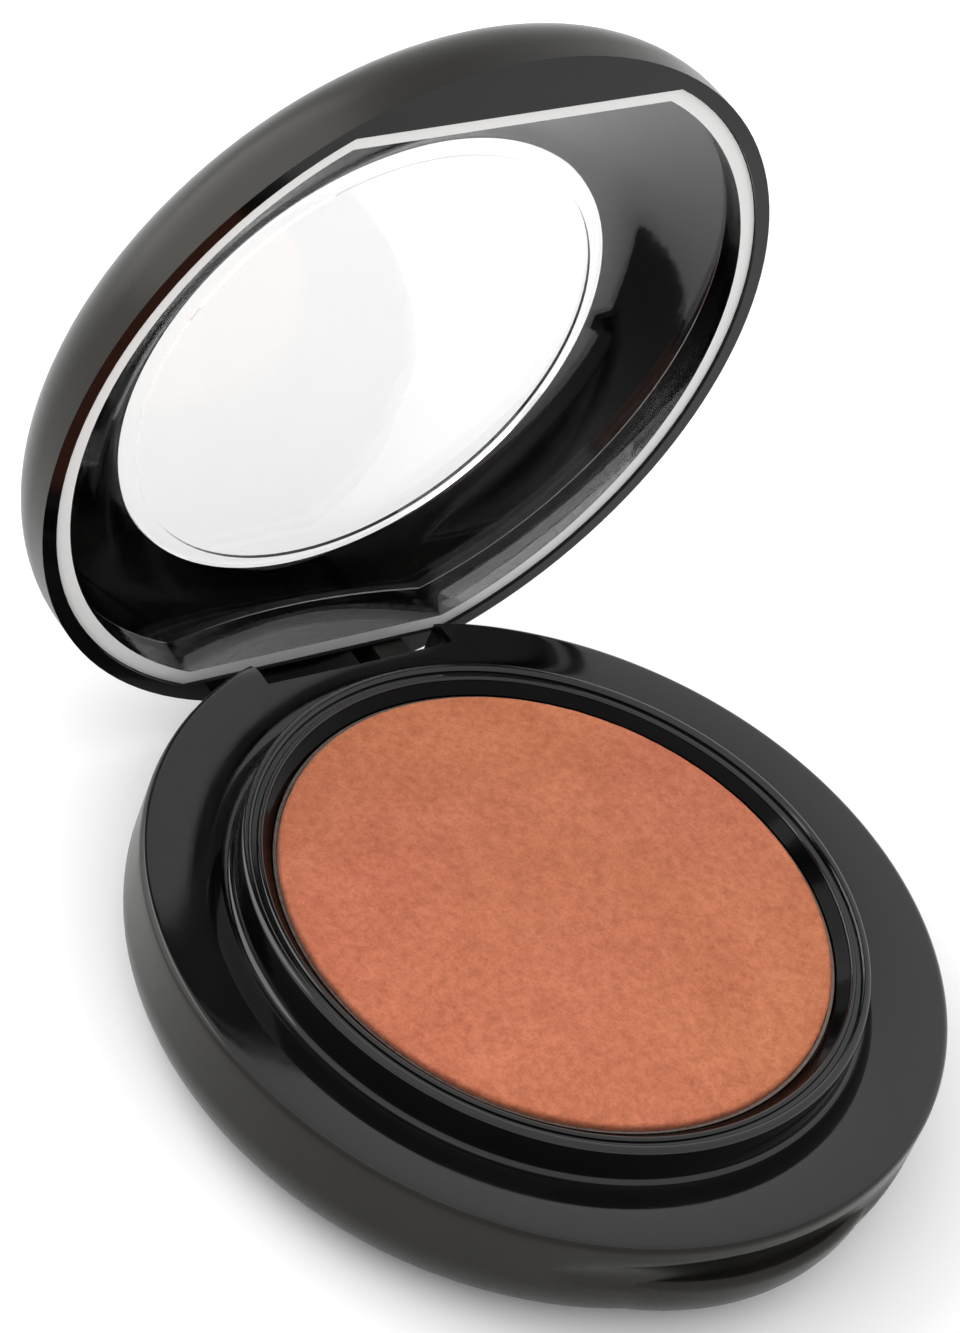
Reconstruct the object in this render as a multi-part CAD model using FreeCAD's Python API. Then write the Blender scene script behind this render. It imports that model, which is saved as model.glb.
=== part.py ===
"""Round powder compact: cup, glossy tray with a raised collar, powder pan, hinged lid with a clear window.

Millimetres. Origin at the centre of the underside, +Z up, the hinge at +Y, the thumb lip at -Y.
The lid stands open at a right angle, which is its rest position. Its pieces are drawn closed, then opened.
"""
import FreeCAD, Part
import math
import os

V = FreeCAD.Vector
X_AXIS = V(1, 0, 0)
Z_AXIS = V(0, 0, 1)

# Whole object
OUTER_R = 31.0            # radius of the base
DECK_Z = 10.0             # height of the deck's edge, where the lid comes down
CLOSING_GAP = 0.2         # between the deck's edge and the closed lid

# Base shell
BASE_ROUND = 5.5          # radius of the underside's rounded edge
BASE_WALL = 1.5
LABEL_R = 20.0
LABEL_T = 0.15
RIB_R = 15.0              # ring rib under the tray's well
RIB_T = 1.2

# Thumb lip at the front, and the scoop between it and the deck's edge
LIP_BULGE = 0.75          # how far the lip stands out of the round wall
LIP_BEND_R = 22.0         # the lip's own radius in plan, tighter than the wall's
LIP_Z = DECK_Z - 3.7
LIP_EDGE = 0.7            # rounding of the lip's upper edge
SCOOP_DEPTH = 0.6
SCOOP_BEND_R = 34.7       # the scoop's radius in plan, flatter than the wall's
SCOOP_R = 3.0             # radius of its hollow profile
SCOOP_Z = DECK_Z - 3.1
FRONT_FILL_Y = -27.6      # the wall is solid in front of this plane, behind lip and scoop

# Tray
DECK_T = 1.2
DECK_DISH = 0.9           # how far the deck falls from its edge to the collar's foot
DECK_BEND_R = 26.2        # the deck is all but level outside this radius
DECK_EDGE = 0.6           # rounding of the deck's outer edge
SEAT_W = 1.55             # width of the flat on which the tray sits on the shell's wall
SEAT_Z = DECK_Z - DECK_T
FOOT_Z = DECK_Z - DECK_DISH
COLLAR_R = 24.1
COLLAR_BEAD = 0.4         # radius of the round bead on the collar's outer edge
COLLAR_TOP = DECK_Z + 2.3
FOOT_ROUND = 0.5
WELL_R = 21.65
INNER_BEAD = 0.25         # a finer bead inside it, with a groove between the two
INNER_BEAD_R = 22.7
BEAD_Z = COLLAR_TOP - COLLAR_BEAD
WELL_MOUTH_Z = COLLAR_TOP - 1.1
WELL_FLOOR_Z = 7.4
TRAY_T = 1.2

# Pan and powder
PAN_R = 21.5
PAN_T = 0.25
GLUE_R = 16.0
GLUE_T = 0.2
PAN_Z = WELL_FLOOR_Z + GLUE_T
PAN_RIM_Z = DECK_Z + 1.15
CAKE_EDGE_Z = DECK_Z + 1.65
CAKE_EDGE = 0.35          # crumbled rounding at the powder's edge
CAKE_CROWN = 0.8          # rise of the powder from its edge to its middle

# Hinge
AXIS_Y = 27.6
AXIS_Z = DECK_Z - 4.26
PIN_R = 0.8
PIN_FIT = 0.05            # radial clearance of the legs on the pin
PIN_HALF = 8.2
PIN_CHAMFER = 0.15
KNUCKLE_R = 2.0
KNUCKLE_HALF = 5.1        # half length of the base's middle knuckle
KNUCKLE_CLEAR = 0.3
NOTCH_HALF = 8.6
NOTCH_Y = 27.3            # the deck's straight rear edge
SWING_R = 4.36            # the deck's rear edge keeps this close to the axis, clear of the lid's rim
SWING_HALF = 13.5
HINGE_WALL = 2.0
LEG_IN = 5.4              # the lid's two legs lie between these two distances from the middle
LEG_OUT = 8.3
LEG_T = 2.4               # leg thickness behind the axis
STOP_GAP = 0.05           # between an open leg and the ledge that stops it

# Lid, in its closed position
LID_Z = DECK_Z + CLOSING_GAP
LID_R = 31.1
LID_STRAIGHT = 1.8
LID_ROUND = 5.8
LID_TOP = LID_Z + LID_STRAIGHT + LID_ROUND
LID_WALL = 1.15
LID_SKIN = 0.75           # thickness at the window's edge
CEILING_DEG = 22.5        # slope of the ceiling, from the window down to the wall
WINDOW_R = 21.1
WINDOW_Y = 2.1            # the window sits a little towards the hinge
REAR_FLAT_Y = 27.4        # straight rear side of the lid's hollow
FRONT_FLAT_Y = -26.3      # straight front side of the lid's hollow
LINER_FIT = 0.05
LINER_T = 0.9
LINER_WALL = 1.2
LINER_DROP = 0.3          # the liner's edge stands back from the lid's rim
WINDOW_T = 1.4
WINDOW_STEP_R = 19.6      # the thinner middle of the window
OPEN_DEG = 90.0


def line(a, b):
    return Part.LineSegment(V(a[0], 0, a[1]), V(b[0], 0, b[1])).toShape()


def arc(centre, radius, start_deg, end_deg):
    """Arc in the XZ plane, from one angle to the other."""
    points = []
    for angle in (start_deg, (start_deg + end_deg) / 2, end_deg):
        a = math.radians(angle)
        points.append(V(centre[0] + radius * math.cos(a), 0, centre[1] + radius * math.sin(a)))
    return Part.Arc(*points).toShape()


def bow(a, pull, b):
    """Shallow curve between two (radius, height) points, drawn towards a third."""
    curve = Part.BezierCurve()
    curve.setPoles([V(p[0], 0, p[1]) for p in (a, pull, b)])
    return curve.toShape()


def spin(edges, y=0):
    """Solid of revolution about a vertical axis, from the edges of a closed half profile."""
    solid = Part.Face(Part.Wire(edges)).revolve(V(0, 0, 0), Z_AXIS, 360)
    solid.translate(V(0, y, 0))
    return solid


def disc(radius, z_low, z_high, y=0):
    return Part.makeCylinder(radius, z_high - z_low, V(0, y, z_low))


def box(x, y, z):
    """Box from (low, high) pairs."""
    low = V(x[0], y[0], z[0])
    return Part.makeBox(x[1] - x[0], y[1] - y[0], z[1] - z[0], low)


def axle(radius, x_low, x_high):
    """Cylinder along the hinge axis."""
    return Part.makeCylinder(radius, x_high - x_low, V(x_low, AXIS_Y, AXIS_Z), X_AXIS)


def both_sides(shape):
    return shape.fuse(shape.mirror(V(0, 0, 0), X_AXIS))


def opened(shape):
    """Turn a lid piece from closed to standing open."""
    shape = shape.copy()
    shape.rotate(V(0, AXIS_Y, AXIS_Z), X_AXIS, -OPEN_DEG)
    return shape


def dish(radius, edge, low, high, y=0):
    """Puck with its lower edge rounded."""
    flat = radius - edge
    return spin([
        line((0, low), (flat, low)),
        arc((flat, low + edge), edge, -90, 0),
        line((radius, low + edge), (radius, high)),
        line((radius, high), (0, high)),
        line((0, high), (0, low)),
    ], y)


def dome(radius, edge, low, high):
    """Puck with its upper edge rounded."""
    flat = radius - edge
    return spin([
        line((0, low), (radius, low)),
        line((radius, low), (radius, high - edge)),
        arc((flat, high - edge), edge, 0, 90),
        line((flat, high), (0, high)),
        line((0, high), (0, low)),
    ])


# ---------------------------------------------------------------- base

def thumb_scoop():
    """Ring-shaped cutter that hollows the front wall under the deck's edge, dying out to both sides."""
    centre = (SCOOP_BEND_R + SCOOP_R, SCOOP_Z)
    ring = spin([arc(centre, SCOOP_R, 0, 180), arc(centre, SCOOP_R, 180, 360)])
    ring.translate(V(0, SCOOP_BEND_R - OUTER_R + SCOOP_DEPTH, 0))
    return ring.common(box((-OUTER_R, OUTER_R), (-OUTER_R * 2, 0), (0, DECK_Z)))


def thumb_lip():
    """Bulge that flares out of the front wall under the scoop."""
    flat = LIP_BEND_R - BASE_ROUND
    inner = LIP_BEND_R - LIP_EDGE
    lip = spin([
        line((0, 0), (flat, 0)),
        arc((flat, BASE_ROUND), BASE_ROUND, -90, 0),
        line((LIP_BEND_R, BASE_ROUND), (LIP_BEND_R, LIP_Z - LIP_EDGE)),
        arc((inner, LIP_Z - LIP_EDGE), LIP_EDGE, 0, 90),
        line((inner, LIP_Z), (0, LIP_Z)),
        line((0, LIP_Z), (0, 0)),
    ], LIP_BEND_R - OUTER_R - LIP_BULGE)
    return lip.common(box((-OUTER_R, OUTER_R), (-OUTER_R * 2, FRONT_FILL_Y), (0, DECK_Z)))


def hinge_block(outer):
    """Solid rear pocket with the middle knuckle; the notch between its ears takes the lid's legs."""
    floor_z = AXIS_Z - LEG_T - STOP_GAP
    front_y = AXIS_Y - KNUCKLE_R - KNUCKLE_CLEAR
    half = NOTCH_HALF + HINGE_WALL
    block = box((-half, half), (front_y - HINGE_WALL, OUTER_R), (BASE_WALL / 2, DECK_Z)).common(outer)
    notch = box((-NOTCH_HALF, NOTCH_HALF), (front_y, OUTER_R + 2), (floor_z, DECK_Z + 1))
    knuckle = axle(KNUCKLE_R, -KNUCKLE_HALF, KNUCKLE_HALF)
    span = (-KNUCKLE_HALF, KNUCKLE_HALF)
    foot = box(span, (front_y - HINGE_WALL / 2, AXIS_Y + KNUCKLE_R), (floor_z - HINGE_WALL / 2, AXIS_Z))
    return block, notch, knuckle.fuse(foot)


def base_shell():
    outer = dish(OUTER_R, BASE_ROUND, 0, DECK_Z)
    hollow = dish(OUTER_R - BASE_WALL, BASE_ROUND - BASE_WALL, BASE_WALL, DECK_Z + 1)
    hollow = hollow.cut(box((-OUTER_R, OUTER_R), (-OUTER_R - 1, FRONT_FILL_Y), (0, DECK_Z + 1)))
    rib = disc(RIB_R + RIB_T, BASE_WALL / 2, DECK_Z).cut(disc(RIB_R, 0, DECK_Z))
    block, notch, knuckle = hinge_block(outer)
    shell = outer.cut(hollow).cut(thumb_scoop()).fuse(thumb_lip()).fuse(rib).fuse(block)
    shell = shell.cut(notch).fuse(knuckle).removeSplitter()
    shell = shell.cut(tray_space())
    shell = shell.cut(axle(PIN_R, -PIN_HALF, PIN_HALF))
    shell = shell.cut(both_sides(axle(PIN_R + PIN_FIT, PIN_HALF, OUTER_R)))
    return shell.cut(disc(LABEL_R + LABEL_T, -1, LABEL_T))


def tray_underside():
    """Edges of the tray's lower side, from its outer edge in to the axis."""
    seat_r = OUTER_R - SEAT_W
    well_r = WELL_R + TRAY_T
    low_z = FOOT_Z - DECK_T
    floor_z = WELL_FLOOR_Z - TRAY_T
    return [
        line((OUTER_R, SEAT_Z), (seat_r, SEAT_Z)),
        line((seat_r, SEAT_Z), (COLLAR_R, low_z)),
        line((COLLAR_R, low_z), (well_r, low_z)),
        line((well_r, low_z), (well_r, floor_z)),
        line((well_r, floor_z), (0, floor_z)),
    ]


def tray_space():
    """All the room in the shell at and above the tray's lower side."""
    top = DECK_Z + 1
    beyond = OUTER_R + 1
    sides = [
        line((0, WELL_FLOOR_Z - TRAY_T), (0, top)),
        line((0, top), (beyond, top)),
        line((beyond, top), (beyond, SEAT_Z)),
        line((beyond, SEAT_Z), (OUTER_R, SEAT_Z)),
    ]
    return spin(tray_underside() + sides)


def base_tray():
    """Deck ring, collar and well in one turned piece, cut away over the hinge."""
    foot_r = COLLAR_R + FOOT_ROUND
    deck_in = OUTER_R - DECK_EDGE
    bead_r = COLLAR_R - COLLAR_BEAD
    turned = spin([
        line((0, WELL_FLOOR_Z), (WELL_R, WELL_FLOOR_Z)),
        line((WELL_R, WELL_FLOOR_Z), (WELL_R, WELL_MOUTH_Z)),
        line((WELL_R, WELL_MOUTH_Z), (INNER_BEAD_R - INNER_BEAD, BEAD_Z)),
        arc((INNER_BEAD_R, BEAD_Z), INNER_BEAD, 180, 0),
        line((INNER_BEAD_R + INNER_BEAD, BEAD_Z), (bead_r - COLLAR_BEAD, BEAD_Z)),
        arc((bead_r, BEAD_Z), COLLAR_BEAD, 180, 0),
        line((COLLAR_R, BEAD_Z), (COLLAR_R, FOOT_Z + FOOT_ROUND)),
        arc((foot_r, FOOT_Z + FOOT_ROUND), FOOT_ROUND, 180, 270),
        bow((foot_r, FOOT_Z), (DECK_BEND_R, DECK_Z), (deck_in, DECK_Z)),
        arc((deck_in, DECK_Z - DECK_EDGE), DECK_EDGE, 90, 0),
        line((OUTER_R, DECK_Z - DECK_EDGE), (OUTER_R, SEAT_Z)),
        *tray_underside(),
        line((0, WELL_FLOOR_Z - TRAY_T), (0, WELL_FLOOR_Z)),
    ])
    notch = box((-NOTCH_HALF, NOTCH_HALF), (NOTCH_Y, OUTER_R + 1), (0, DECK_Z + 1))
    rear = box((-SWING_HALF, SWING_HALF), (AXIS_Y, OUTER_R + 1), (AXIS_Z, DECK_Z + 1))
    rear = rear.cut(axle(SWING_R, -SWING_HALF - 1, SWING_HALF + 1))
    return turned.cut(rear).cut(notch)


def powder_pan():
    cup = dish(PAN_R, PAN_T * 2, PAN_Z, PAN_RIM_Z)
    return cup.cut(dish(PAN_R - PAN_T, PAN_T, PAN_Z + PAN_T, PAN_RIM_Z + 1))


def powder_cake():
    radius = PAN_R - PAN_T
    low = PAN_Z + PAN_T
    crown = radius - CAKE_EDGE
    top = CAKE_EDGE_Z + CAKE_CROWN
    ball_r = (crown ** 2 + CAKE_CROWN ** 2) / (2 * CAKE_CROWN)
    edge_deg = math.degrees(math.acos(crown / ball_r))
    return spin([
        line((0, low), (radius - PAN_T, low)),
        arc((radius - PAN_T, low + PAN_T), PAN_T, -90, 0),
        line((radius, low + PAN_T), (radius, CAKE_EDGE_Z - CAKE_EDGE)),
        arc((crown, CAKE_EDGE_Z - CAKE_EDGE), CAKE_EDGE, 0, 90),
        arc((0, top - ball_r), ball_r, edge_deg, 90),
        line((0, top), (0, low)),
    ])


def pan_adhesive():
    return disc(GLUE_R, WELL_FLOOR_Z, PAN_Z)


def bottom_label():
    return disc(LABEL_R, 0, LABEL_T)


def hinge_pin():
    pin = axle(PIN_R, -PIN_HALF, PIN_HALF)
    ends = [e for e in pin.Edges if len(e.Vertexes) == 1]
    return pin.makeChamfer(PIN_CHAMFER, ends)


# ---------------------------------------------------------------- lid, drawn closed

def lid_hollow(side, ceiling):
    """Hollow of the lid, inset by two amounts: a coned ceiling around the window, two straight sides."""
    low = LID_Z - 1
    top = LID_TOP - LID_SKIN - ceiling
    reach = LID_R + WINDOW_Y
    eaves = top - (reach - WINDOW_R) * math.tan(math.radians(CEILING_DEG))
    tent = spin([
        line((0, low), (reach, low)),
        line((reach, low), (reach, eaves)),
        line((reach, eaves), (WINDOW_R, top)),
        line((WINDOW_R, top), (0, top)),
        line((0, top), (0, low)),
    ], WINDOW_Y)
    walls = box((-LID_R, LID_R), (FRONT_FLAT_Y + side, REAR_FLAT_Y - side), (0, LID_TOP))
    return disc(LID_R - LID_WALL - side, low, LID_TOP).common(tent).common(walls)


def lid_leg():
    """One hinge leg: a knuckle and the arm that joins it to the lid's rim."""
    knuckle = axle(KNUCKLE_R, LEG_IN, LEG_OUT)
    arm = box((LEG_IN, LEG_OUT), (AXIS_Y, AXIS_Y + LEG_T), (AXIS_Z, LID_Z + 1))
    return knuckle.fuse(arm).common(disc(LID_R, 0, LID_TOP))


def lid_shell():
    shell = dome(LID_R, LID_ROUND, LID_Z, LID_TOP)
    shell = shell.cut(lid_hollow(0, 0)).cut(disc(WINDOW_R, LID_Z, LID_TOP + 1, WINDOW_Y))
    shell = shell.fuse(both_sides(lid_leg())).removeSplitter()
    return shell.cut(axle(PIN_R + PIN_FIT, -OUTER_R, OUTER_R))


def lid_liner():
    low = LID_Z + LINER_DROP
    body = lid_hollow(LINER_FIT, LINER_FIT).cut(box((-LID_R, LID_R), (-LID_R, LID_R), (0, low)))
    boss = disc(WINDOW_R - LINER_FIT, LID_TOP - LID_SKIN - LINER_T, LID_TOP, WINDOW_Y)
    step = disc(WINDOW_STEP_R, LID_Z, LID_TOP - WINDOW_T, WINDOW_Y)
    inside = lid_hollow(LINER_FIT + LINER_WALL, LINER_FIT + LINER_T)
    return body.fuse(boss).removeSplitter().cut(inside).cut(step)


NODES = {
    "base_shell": base_shell,
    "base_tray": base_tray,
    "powder_pan": powder_pan,
    "powder_cake": powder_cake,
    "pan_adhesive": pan_adhesive,
    "bottom_label": bottom_label,
    "hinge_pin": hinge_pin,
    "lid_shell": lambda: opened(lid_shell()),
    "lid_liner": lambda: opened(lid_liner()),
}


def one_solid(shape):
    """The single solid of a shape, whatever wraps it."""
    solids = shape.Solids
    if len(solids) != 1:
        raise ValueError(f"{len(solids)} solids where one is meant")
    return solids[0]


os.makedirs("parts", exist_ok=True)
for node, make in NODES.items():
    one_solid(make()).exportStep(f"parts/{node}.step")
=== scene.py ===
"""Round powder compact, open: satin black case, glossy black tray, terracotta powder, clear lid liner.

Metres, in the CAD frame: origin at the centre of the underside, +Z up, the hinge at +Y.
"""
import math

import bpy
from mathutils import Matrix, Vector, noise


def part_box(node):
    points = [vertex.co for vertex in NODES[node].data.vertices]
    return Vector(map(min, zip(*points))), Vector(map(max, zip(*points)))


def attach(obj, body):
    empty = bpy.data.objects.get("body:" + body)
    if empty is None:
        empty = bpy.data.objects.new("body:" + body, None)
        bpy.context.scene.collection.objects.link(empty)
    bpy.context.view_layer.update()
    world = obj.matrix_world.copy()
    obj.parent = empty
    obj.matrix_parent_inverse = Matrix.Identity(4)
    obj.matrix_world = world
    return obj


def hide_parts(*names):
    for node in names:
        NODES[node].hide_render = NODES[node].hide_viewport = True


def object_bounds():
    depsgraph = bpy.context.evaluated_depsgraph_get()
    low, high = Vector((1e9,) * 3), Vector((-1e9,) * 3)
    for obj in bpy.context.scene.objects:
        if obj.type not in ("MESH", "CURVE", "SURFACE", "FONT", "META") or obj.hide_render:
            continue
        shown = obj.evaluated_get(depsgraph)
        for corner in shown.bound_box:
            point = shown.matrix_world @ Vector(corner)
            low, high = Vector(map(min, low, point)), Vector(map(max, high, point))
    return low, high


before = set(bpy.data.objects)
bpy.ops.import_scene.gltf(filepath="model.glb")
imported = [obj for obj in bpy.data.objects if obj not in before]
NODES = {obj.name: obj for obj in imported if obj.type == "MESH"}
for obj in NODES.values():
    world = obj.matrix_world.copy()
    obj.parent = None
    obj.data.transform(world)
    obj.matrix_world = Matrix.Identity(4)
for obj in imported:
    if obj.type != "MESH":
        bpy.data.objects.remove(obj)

cad_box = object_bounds()
MM = 0.001

# Camera: the direction it looks in, and the point that it looks at
CAMERA_TURN = -48.24          # degrees about Z, 0 looks along +Y
CAMERA_TILT = 40.16           # degrees below the horizon
CAMERA_ROLL = 22.58
CAMERA_DISTANCE = 0.343
CAMERA_AIM = (-0.00045, 0.01557, 0.0210)
CAMERA_LENS = 126.34
SENSOR = 36.0

WORLD_LIGHT = 1.06
FLOOR_HALF = 6.0

# Hinge: the closed lid's axes turn about this line while it stands open
HINGE_Y = 27.6 * MM
HINGE_Z = 5.74 * MM
SWING_R = 4.36 * MM           # the deck's rear edge keeps within this of the hinge

# Where a second finish begins, on the lid, its liner and the tray
LID_RIM_Z = 10.1 * MM         # the lid's knuckles and legs lie below this when it is shut
LINER_LIP_Z = 10.6 * MM
TRAY_SIDE_R = 30.3 * MM
WELL_MOUTH_R = 22.46 * MM
WELL_WALL_Z = 9.2 * MM

SHARP_DEG = 38.0              # edges sharper than this stay crisp
WELD_GAP = 0.0005 * MM

# Tray, in millimetres
TRAY_R = 31.0
DECK_Z = 10.0
DECK_EDGE = 0.6
DECK_BEND_R = 26.2            # the deck is all but level outside this radius
SEAT_R = 29.45
SEAT_Z = 8.8
FOOT_Z = 9.1
FOOT_ROUND = 0.5
COLLAR_R = 24.1
COLLAR_BEAD = 0.4
INNER_BEAD = 0.25
INNER_BEAD_R = 22.7
BEAD_Z = 11.9
WELL_R = 21.65
WELL_TOP_Z = 11.2
WELL_FLOOR_Z = 7.4
WELL_OUT_R = 22.85
DECK_UNDER_Z = 7.9
WELL_UNDER_Z = 6.2
NOTCH_HALF = 8.6
NOTCH_Y = 27.3
TRAY_SPOKES = 384

# Powder
POWDER_EDGE = 0.35 * MM       # crumbled rounding at the edge
POWDER_CROWN = 0.8 * MM       # rise from edge to middle
POWDER_SINK = 0.05 * MM       # room left for the roughness under the CAD's own top
POWDER_RINGS = 130
POWDER_SPOKES = 420
GRAIN_HEIGHT = 0.016
DRAG_HEIGHT = 0.022
CRUMBLE_HEIGHT = 0.05
CRUMBLE_BAND = 0.8 * MM       # width of the crumbling strip at the edge


# ---------------------------------------------------------------- materials

class Shader:
    """One Principled material and short ways to add the nodes that drive it."""

    def __init__(self, name, **values):
        self.material = bpy.data.materials.new(name)
        self.material.use_nodes = True
        self.tree = self.material.node_tree
        self.bsdf = self.tree.nodes["Principled BSDF"]
        self.coords = self.node("ShaderNodeTexCoord").outputs["Object"]
        for key, value in values.items():
            self.bsdf.inputs[key.replace("_", " ")].default_value = value

    def node(self, kind, **settings):
        made = self.tree.nodes.new(kind)
        for key, value in settings.items():
            setattr(made, key, value)
        return made

    def link(self, out, into):
        self.tree.links.new(out, into)

    def noise(self, size, detail=2.0, rough=0.5, coords=None, stretch=None, distort=0.0):
        """Noise whose features are about size metres across."""
        made = self.node("ShaderNodeTexNoise")
        made.inputs["Scale"].default_value = 1 / size
        made.inputs["Detail"].default_value = detail
        made.inputs["Roughness"].default_value = rough
        made.inputs["Distortion"].default_value = distort
        source = coords or self.coords
        if stretch:
            mapping = self.node("ShaderNodeMapping")
            mapping.inputs["Scale"].default_value = stretch
            self.link(source, mapping.inputs["Vector"])
            source = mapping.outputs["Vector"]
        self.link(source, made.inputs["Vector"])
        return made.outputs["Fac"]

    def span(self, value, low, high, start=0.3, end=0.7):
        """Map a value between start and end onto the range from low to high."""
        made = self.node("ShaderNodeMapRange")
        for key, number in (("From Min", start), ("From Max", end), ("To Min", low), ("To Max", high)):
            made.inputs[key].default_value = number
        self.link(value, made.inputs["Value"])
        return made.outputs["Result"]

    def ramp(self, value, *stops):
        made = self.node("ShaderNodeValToRGB")
        elements = made.color_ramp.elements
        while len(elements) < len(stops):
            elements.new(0.5)
        for element, (at, colour) in zip(elements, stops):
            element.position = at
            element.color = (*colour, 1)
        self.link(value, made.inputs["Fac"])
        return made.outputs["Color"]

    def blend(self, kind, factor, a, b):
        made = self.node("ShaderNodeMix", data_type="RGBA", blend_type=kind)
        for value, into in ((factor, made.inputs[0]), (a, made.inputs[6]), (b, made.inputs[7])):
            if isinstance(value, bpy.types.NodeSocket):
                self.link(value, into)
            elif isinstance(value, (tuple, list)):
                into.default_value = (*value, 1)
            else:
                into.default_value = value
        return made.outputs[2]

    def bump(self, *layers):
        """Bump from (height, depth in metres) layers, one on the other."""
        normal = None
        for height, depth in layers:
            made = self.node("ShaderNodeBump")
            made.inputs["Strength"].default_value = 1.0
            made.inputs["Distance"].default_value = depth
            self.link(height, made.inputs["Height"])
            if normal:
                self.link(normal, made.inputs["Normal"])
            normal = made.outputs["Normal"]
        self.link(normal, self.bsdf.inputs["Normal"])

    def drive(self, key, value):
        self.link(value, self.bsdf.inputs[key])


def satin_case():
    """Fine-grained satin plastic, slightly warm black, faintly rubbed."""
    s = Shader("satin_case")
    s.bsdf.inputs["Specular IOR Level"].default_value = 0.27
    s.bsdf.inputs["Specular Tint"].default_value = (1.0, 0.965, 0.89, 1)
    grain = s.noise(0.12 * MM, 3)
    wear = s.noise(9 * MM, 4, 0.6)
    s.drive("Base Color", s.ramp(wear, (0.3, (0.0042, 0.0040, 0.0034)), (0.75, (0.0070, 0.0066, 0.0056))))
    s.drive("Roughness", s.span(wear, 0.25, 0.33))
    s.bump((grain, 0.003 * MM), (wear, 0.02 * MM))
    return s.material


def gloss_black(name, mirror):
    """Polished black plastic with a faint moulding swirl and handling haze; mirror sets its reflection."""
    s = Shader(name)
    s.bsdf.inputs["Specular IOR Level"].default_value = mirror
    haze = s.noise(6 * MM, 5, 0.65)
    dust = s.noise(0.3 * MM, 2)
    s.drive("Base Color", s.ramp(haze, (0.3, (0.0012, 0.0012, 0.0013)), (0.75, (0.0024, 0.0024, 0.0024))))
    s.drive("Roughness", s.span(haze, 0.05, 0.13))
    s.bump((haze, 0.008 * MM), (dust, 0.0005 * MM))
    return s.material


def powder():
    """Pressed terracotta powder: mottled, faintly streaked, fine matt grain with a little shimmer."""
    s = Shader("powder", Sheen_Weight=0.1, Sheen_Roughness=0.4)
    s.bsdf.inputs["Specular IOR Level"].default_value = 0.2
    cloud = s.noise(7 * MM, 4, 0.6)
    tone = s.noise(24 * MM, 1)
    streak = s.noise(1.6 * MM, 3, 0.6, stretch=(1.0, 0.35, 1.0))
    speck = s.noise(0.22 * MM, 3, 0.7)
    base = s.ramp(cloud, (0.25, (0.480, 0.150, 0.076)), (0.8, (0.590, 0.208, 0.112)))
    warm = s.ramp(tone, (0.35, (1.0, 0.95, 1.0)), (0.65, (0.98, 1.0, 0.90)))
    tint = s.ramp(streak, (0.3, (0.90, 0.86, 0.84)), (0.7, (1.0, 1.0, 1.0)))
    fleck = s.ramp(speck, (0.3, (0.72, 0.64, 0.60)), (0.55, (1.0, 1.0, 1.0)), (0.8, (1.0, 1.0, 1.0)))
    mottle = s.ramp(s.noise(0.8 * MM, 3, 0.65), (0.32, (0.84, 0.78, 0.74)), (0.62, (1.06, 1.05, 1.04)))
    colour = s.blend("MULTIPLY", 1.0, s.blend("MULTIPLY", 1.0, base, warm), mottle)
    colour = s.blend("MULTIPLY", 0.6, colour, tint)
    s.drive("Base Color", s.blend("MULTIPLY", 0.7, colour, fleck))
    s.drive("Roughness", s.span(speck, 0.9, 0.65))
    s.bump((s.noise(0.16 * MM, 4, 0.7), 0.03 * MM))
    return s.material


def pan_metal():
    """Thin drawn aluminium, dulled and dusted with powder."""
    s = Shader("pan_metal", Metallic=1.0)
    scratch = s.noise(0.4 * MM, 4, 0.6, stretch=(1, 1, 8))
    s.drive("Base Color", s.ramp(scratch, (0.3, (0.12, 0.085, 0.07)), (0.7, (0.22, 0.18, 0.16))))
    s.drive("Roughness", s.span(scratch, 0.35, 0.55))
    s.bump((scratch, 0.004 * MM))
    return s.material


def glue_pad():
    """Milky soft adhesive."""
    s = Shader("glue_pad", Roughness=0.5)
    cloud = s.noise(1.5 * MM, 4)
    s.drive("Base Color", s.ramp(cloud, (0.3, (0.62, 0.60, 0.52)), (0.7, (0.75, 0.73, 0.66))))
    s.bump((cloud, 0.03 * MM))
    return s.material


def label():
    """Blank matt paper label with a faint fibre."""
    s = Shader("label", Roughness=0.6)
    fibre = s.noise(0.5 * MM, 5, 0.7, stretch=(1, 0.3, 1))
    s.drive("Base Color", s.ramp(fibre, (0.3, (0.045, 0.045, 0.044)), (0.7, (0.06, 0.06, 0.058))))
    s.drive("Roughness", s.span(fibre, 0.5, 0.7))
    s.bump((fibre, 0.01 * MM))
    return s.material


def pin_steel():
    """Ground steel wire, marked along its length."""
    s = Shader("pin_steel", Metallic=1.0, Roughness=0.3)
    scratch = s.noise(0.2 * MM, 4, 0.6, stretch=(0.1, 1, 1))
    s.drive("Base Color", s.ramp(scratch, (0.3, (0.50, 0.50, 0.51)), (0.7, (0.64, 0.64, 0.64))))
    s.drive("Roughness", s.span(scratch, 0.22, 0.42))
    s.bump((scratch, 0.003 * MM))
    return s.material


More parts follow.
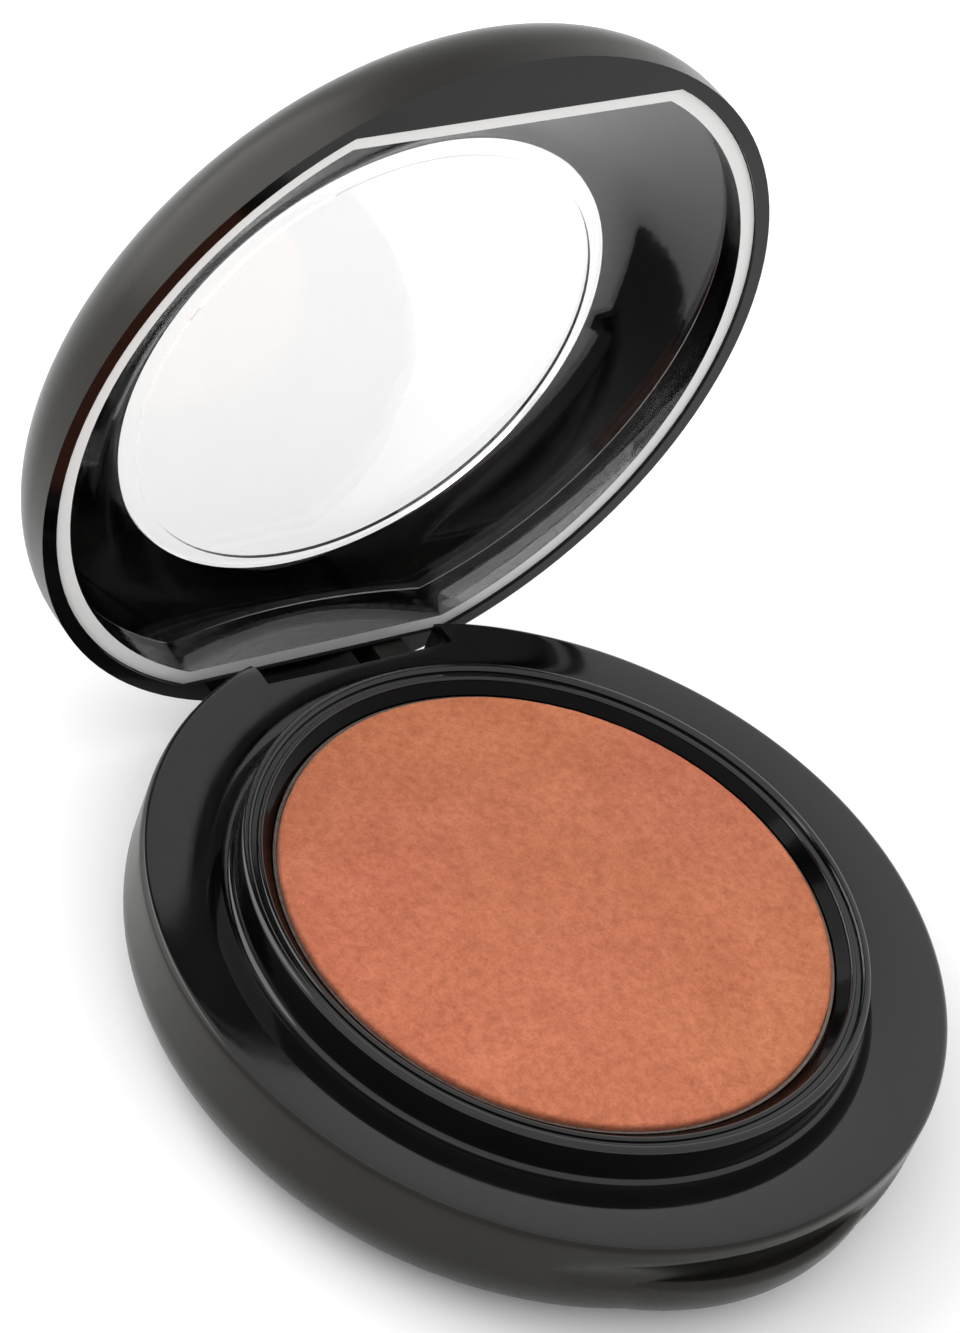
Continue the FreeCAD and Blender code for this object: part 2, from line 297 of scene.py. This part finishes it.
def clear_plastic(name, tint, rough, haze_depth):
    """Clear plastic that lets lamps through; rough is its (least, most) roughness."""
    s = Shader(name, IOR=1.49, Transmission_Weight=1.0)
    haze = s.noise(4 * MM, 5, 0.6)
    light = tuple(min(1.0, c + 0.012) for c in tint)
    s.drive("Base Color", s.ramp(haze, (0.3, tint), (0.7, light)))
    s.drive("Roughness", s.span(haze, *rough))
    s.bump((haze, haze_depth))
    out = s.tree.nodes["Material Output"]
    path = s.node("ShaderNodeLightPath")
    clear = s.node("ShaderNodeBsdfTransparent")
    clear.inputs["Color"].default_value = (0.9, 0.9, 0.9, 1)
    mix = s.node("ShaderNodeMixShader")
    s.link(path.outputs["Is Shadow Ray"], mix.inputs[0])
    s.link(s.bsdf.outputs[0], mix.inputs[1])
    s.link(clear.outputs[0], mix.inputs[2])
    s.link(mix.outputs[0], out.inputs["Surface"])
    return s


def clear_liner():
    return clear_plastic("clear_liner", (0.79, 0.795, 0.79), (0.0, 0.04), 0.01 * MM).material


def liner_edge():
    """The liner's lip: frosted, so that it gathers light."""
    s = clear_plastic("liner_edge", (0.90, 0.91, 0.90), (0.3, 0.45), 0.02 * MM)
    s.bsdf.inputs["Transmission Weight"].default_value = 0.22
    return s.material


FINISHES = {
    "base_shell": satin_case(),
    "base_tray": gloss_black("gloss_tray", 0.5),
    "powder_pan": pan_metal(),
    "powder_cake": powder(),
    "pan_adhesive": glue_pad(),
    "bottom_label": label(),
    "hinge_pin": pin_steel(),
    "lid_liner": clear_liner(),
}
FINISHES["lid_shell"] = FINISHES["base_shell"]

for node, finish in FINISHES.items():
    mesh = NODES[node].data
    mesh.materials.clear()
    mesh.materials.append(finish)


def smooth_shading(piece):
    """Let round faces shade as round, through joined vertices."""
    mesh = piece.data
    if "custom_normal" in mesh.attributes:
        mesh.attributes.remove(mesh.attributes["custom_normal"])
    mesh.shade_smooth()
    weld = piece.modifiers.new("weld", "WELD")
    weld.merge_threshold = WELD_GAP
    crisp_edges(piece)


def crisp_edges(piece):
    """Keep hard edges hard on a smoothly shaded piece."""
    split = piece.modifiers.new("crisp", "EDGE_SPLIT")
    split.split_angle = math.radians(SHARP_DEG)
    split.use_edge_sharp = False


for piece in NODES.values():
    smooth_shading(piece)


def closed_lid(vector, hinge=(0.0, 0.0)):
    """The same place or direction as it lies in the closed lid's axes."""
    return Vector((vector.x, hinge[0] + hinge[1] - vector.z, hinge[1] - hinge[0] + vector.y))


def mark_faces(piece, finish, test):
    """Put another finish on the faces of a piece for which the test of (place, normal) holds."""
    mesh = piece.data
    mesh.materials.append(finish)
    index = len(mesh.materials) - 1
    for face in mesh.polygons:
        if test(face.center, face.normal):
            face.material_index = index


def lid_inside(place, normal):
    """Rim, inner walls and ceiling of the lid."""
    place = closed_lid(place, (HINGE_Y, HINGE_Z))
    normal = closed_lid(normal)
    outward = (normal.x * place.x + normal.y * place.y) / max(1e-6, math.hypot(place.x, place.y))
    return place.z >= LID_RIM_Z and (normal.z < -0.2 or outward < -0.2)


def liner_lip(place, normal):
    """The liner's edge, level with the lid's rim."""
    return closed_lid(normal).z < -0.9 and closed_lid(place, (HINGE_Y, HINGE_Z)).z < LINER_LIP_Z


def tray_side(place, normal):
    """The tray's outer side, which runs on from the shell's wall."""
    return math.hypot(place.x, place.y) > TRAY_SIDE_R and normal.z < 0.8


def well_mouth(place, _):
    """The slope from the collar's inner bead down to the powder."""
    return math.hypot(place.x, place.y) < WELL_MOUTH_R and place.z > WELL_WALL_Z


mark_faces(NODES["lid_shell"], gloss_black("lid_inside", 0.22), lid_inside)
mark_faces(NODES["lid_liner"], liner_edge(), liner_lip)


# ---------------------------------------------------------------- turned pieces

def link_mesh(name, verts, faces, finish):
    """A smoothly shaded piece in the scene."""
    mesh = bpy.data.meshes.new(name)
    mesh.from_pydata(verts, [], faces)
    mesh.materials.append(finish)
    mesh.shade_smooth()
    piece = bpy.data.objects.new(name, mesh)
    bpy.context.scene.collection.objects.link(piece)
    return piece


def turned(rows, spokes, start, end):
    """Vertices and faces of a solid of revolution: (radius, height) rows between two heights on the axis."""
    verts = [(0, 0, start)]
    for r, z in rows:
        for k in range(spokes):
            turn = 2 * math.pi * k / spokes
            verts.append((r * math.cos(turn), r * math.sin(turn), z))
    verts.append((0, 0, end))
    faces = [(0, 1 + k, 1 + (k + 1) % spokes) for k in range(spokes)]
    for i in range(len(rows) - 1):
        a = 1 + i * spokes
        b = a + spokes
        for k in range(spokes):
            n = (k + 1) % spokes
            faces.append((a + k, b + k, b + n, a + n))
    last = 1 + (len(rows) - 1) * spokes
    faces += [(last + (k + 1) % spokes, last + k, len(verts) - 1) for k in range(spokes)]
    return verts, faces


def arc_rows(centre, radius, start_deg, end_deg, steps):
    """Rows along an arc of the profile, both ends included."""
    rows = []
    for i in range(steps + 1):
        turn = math.radians(start_deg + (end_deg - start_deg) * i / steps)
        rows.append((centre[0] + radius * math.cos(turn), centre[1] + radius * math.sin(turn)))
    return rows


def deck_rows(steps):
    """The deck's shallow curve, from the collar's foot out to its edge."""
    a = (COLLAR_R + FOOT_ROUND, FOOT_Z)
    pull = (DECK_BEND_R, DECK_Z)
    b = (TRAY_R - DECK_EDGE, DECK_Z)
    rows = []
    for i in range(1, steps):
        t = i / steps
        rows.append(tuple((1 - t) ** 2 * a[j] + 2 * t * (1 - t) * pull[j] + t * t * b[j] for j in (0, 1)))
    return rows


def under_the_swing(place):
    """Pull a point of the deck's rear edge in to the round that clears the lid's rim."""
    x, y, z = place
    reach = math.hypot(y - HINGE_Y, z - HINGE_Z)
    if y <= HINGE_Y or z < (SEAT_Z + 0.01) * MM or reach <= SWING_R:
        return place
    scale = SWING_R / reach
    return (x, HINGE_Y + (y - HINGE_Y) * scale, HINGE_Z + (z - HINGE_Z) * scale)


def tray_piece():
    """The tray as one finely turned piece, with the notch over the hinge cut out."""
    bead_r = COLLAR_R - COLLAR_BEAD
    edge_r = TRAY_R - DECK_EDGE
    groove_r = (INNER_BEAD_R + INNER_BEAD + bead_r - COLLAR_BEAD) / 2
    rows = [(WELL_R, z) for z in (WELL_FLOOR_Z, (WELL_FLOOR_Z + WELL_TOP_Z) / 2, WELL_TOP_Z)]
    rows += arc_rows((INNER_BEAD_R, BEAD_Z), INNER_BEAD, 180, 0, 12)
    rows += [(groove_r, BEAD_Z)]
    rows += arc_rows((bead_r, BEAD_Z), COLLAR_BEAD, 180, 0, 16)
    rows += [(COLLAR_R, (BEAD_Z + FOOT_Z + FOOT_ROUND) / 2)]
    rows += arc_rows((COLLAR_R + FOOT_ROUND, FOOT_Z + FOOT_ROUND), FOOT_ROUND, 180, 270, 8)
    rows += deck_rows(14)
    rows += arc_rows((edge_r, DECK_Z - DECK_EDGE), DECK_EDGE, 90, 0, 8)
    rows += [(TRAY_R, SEAT_Z), (SEAT_R, SEAT_Z), (COLLAR_R, DECK_UNDER_Z)]
    rows += [(WELL_OUT_R, DECK_UNDER_Z), (WELL_OUT_R, WELL_UNDER_Z)]
    rows = [(r * MM, z * MM) for r, z in rows]
    verts, faces = turned(rows, TRAY_SPOKES, WELL_FLOOR_Z * MM, WELL_UNDER_Z * MM)
    piece = link_mesh("turned_tray", [under_the_swing(v) for v in verts], faces, FINISHES["base_tray"])
    beyond = TRAY_R + 3
    notch = [
        (x, y, z)
        for x in (-NOTCH_HALF, NOTCH_HALF)
        for y in (NOTCH_Y, beyond)
        for z in (WELL_UNDER_Z - 1, DECK_Z + 2)
    ]
    sides = [(0, 1, 3, 2), (4, 6, 7, 5), (0, 4, 5, 1), (2, 3, 7, 6), (0, 2, 6, 4), (1, 5, 7, 3)]
    cutter = link_mesh("notch_cutter", [Vector(v) * MM for v in notch], sides, FINISHES["base_tray"])
    cut = piece.modifiers.new("notch", "BOOLEAN")
    cut.operation = "DIFFERENCE"
    cut.solver = "EXACT"
    cut.object = cutter
    shape = bpy.data.meshes.new_from_object(piece.evaluated_get(bpy.context.evaluated_depsgraph_get()))
    piece.modifiers.clear()
    piece.data = shape
    bpy.data.objects.remove(cutter)
    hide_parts("base_tray")
    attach(piece, "base")
    mark_faces(piece, FINISHES["base_shell"], tray_side)
    mark_faces(piece, gloss_black("well_mouth", 0.07), well_mouth)
    crisp_edges(piece)


# ---------------------------------------------------------------- powder

def powder_profile(radius, low, top):
    """(radius, height, share of roughness) from the middle of the top, over the edge, down to the bottom."""
    crown = radius - POWDER_EDGE
    ball = (crown ** 2 + POWDER_CROWN ** 2) / (2 * POWDER_CROWN)
    rows = []
    for i in range(1, POWDER_RINGS + 1):
        r = crown * i / POWDER_RINGS
        rows.append((r, top - ball + math.sqrt(ball ** 2 - r ** 2), 1.0))
    shoulder = top - POWDER_CROWN - POWDER_EDGE
    for i in range(1, 9):
        turn = math.radians(90 * i / 8)
        rows.append((crown + POWDER_EDGE * math.sin(turn), shoulder + POWDER_EDGE * math.cos(turn), 1.0))
    rows.append((radius, (shoulder + low) / 2, 0.0))
    rows.append((radius, low, 0.0))
    return rows


def rough_powder(x, y, r, radius):
    """Height and inward crumble of the powder's surface at one place."""
    place = Vector((x, y, 0)) / MM
    grain = noise.fractal(place * 2.6, 0.7, 2.1, 4)
    drag = noise.fractal(Vector((place.x * 0.9, place.y * 0.3, 4.0)), 0.8, 2.0, 3)
    near_edge = max(0.0, 1 - (radius - r) / CRUMBLE_BAND)
    crumble = noise.fractal(place * 3.4 + Vector((9, 5, 2)), 0.6, 2.1, 4)
    height = (GRAIN_HEIGHT * grain + DRAG_HEIGHT * drag + CRUMBLE_HEIGHT * near_edge * crumble) * MM
    inward = near_edge * (0.05 + 0.07 * abs(crumble)) * MM
    return height, inward


def powder_piece():
    """The powder as one finely turned piece with a rough top and a crumbled edge."""
    low_corner, high_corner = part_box("powder_cake")
    radius = (high_corner.x - low_corner.x) / 2
    top = high_corner.z - POWDER_SINK
    rows = powder_profile(radius, low_corner.z, top)
    verts, faces = turned([(r, z) for r, z, share in rows], POWDER_SPOKES, top, low_corner.z)
    for i, (r, z, share) in enumerate(rows):
        for n in range(1 + i * POWDER_SPOKES, 1 + (i + 1) * POWDER_SPOKES):
            x, y, z = verts[n]
            height, inward = rough_powder(x, y, r, radius)
            scale = 1 - share * inward / r
            verts[n] = (x * scale, y * scale, z + share * height)
    piece = link_mesh("powder_surface", verts, faces, FINISHES["powder_cake"])
    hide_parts("powder_cake")
    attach(piece, "base")


tray_piece()
powder_piece()


# ---------------------------------------------------------------- stage, light and camera

def floor():
    """Pale paper under the part."""
    half = FLOOR_HALF
    mesh = bpy.data.meshes.new("floor")
    corners = [(-half, -half, 0), (half, -half, 0), (half, half, 0), (-half, half, 0)]
    mesh.from_pydata(corners, [], [(0, 1, 2, 3)])
    piece = bpy.data.objects.new("floor", mesh)
    piece.location.z = cad_box[0].z
    bpy.context.scene.collection.objects.link(piece)
    s = Shader("floor_paper", Roughness=0.9)
    tone = s.noise(0.05, 2)
    s.drive("Base Color", s.ramp(tone, (0.3, (0.975, 0.975, 0.975)), (0.7, (0.985, 0.985, 0.985))))
    mesh.materials.append(s.material)


def soft_light(name, place, aim, size, watts):
    """Round area lamp at a place, pointing at another."""
    lamp = bpy.data.lights.new(name, "AREA")
    lamp.shape = "DISK"
    lamp.size = size
    lamp.energy = watts
    piece = bpy.data.objects.new(name, lamp)
    piece.location = place
    piece.rotation_euler = (Vector(aim) - Vector(place)).to_track_quat("-Z", "Y").to_euler()
    bpy.context.scene.collection.objects.link(piece)


def studio():
    """White surroundings, a faint soft box above and a stronger one behind on the left."""
    world = bpy.data.worlds.new("studio")
    world.use_nodes = True
    back = world.node_tree.nodes["Background"]
    back.inputs["Color"].default_value = (1, 1, 1, 1)
    back.inputs["Strength"].default_value = WORLD_LIGHT
    bpy.context.scene.world = world
    soft_light("soft_box", (-0.5, 0.1, 0.9), (0, 0, 0.02), 1.2, 0.6)
    soft_light("back_left", (-0.35, 0.55, 0.35), (0, 0, 0.02), 0.8, 4.0)
    bpy.context.scene.view_settings.view_transform = "Standard"


def camera():
    """Long lens, a little rolled, as the part is seen from above its front left."""
    lens = bpy.data.cameras.new("camera")
    lens.lens = CAMERA_LENS
    lens.sensor_width = SENSOR
    piece = bpy.data.objects.new("camera", lens)
    look = (
        Matrix.Rotation(math.radians(CAMERA_TURN), 4, "Z")
        @ Matrix.Rotation(math.radians(90 - CAMERA_TILT), 4, "X")
        @ Matrix.Rotation(math.radians(CAMERA_ROLL), 4, "Z")
    )
    back = look.to_3x3() @ Vector((0, 0, 1))
    piece.matrix_world = Matrix.Translation(Vector(CAMERA_AIM) + back * CAMERA_DISTANCE) @ look
    bpy.context.scene.collection.objects.link(piece)
    bpy.context.scene.camera = piece


floor()
studio()
camera()
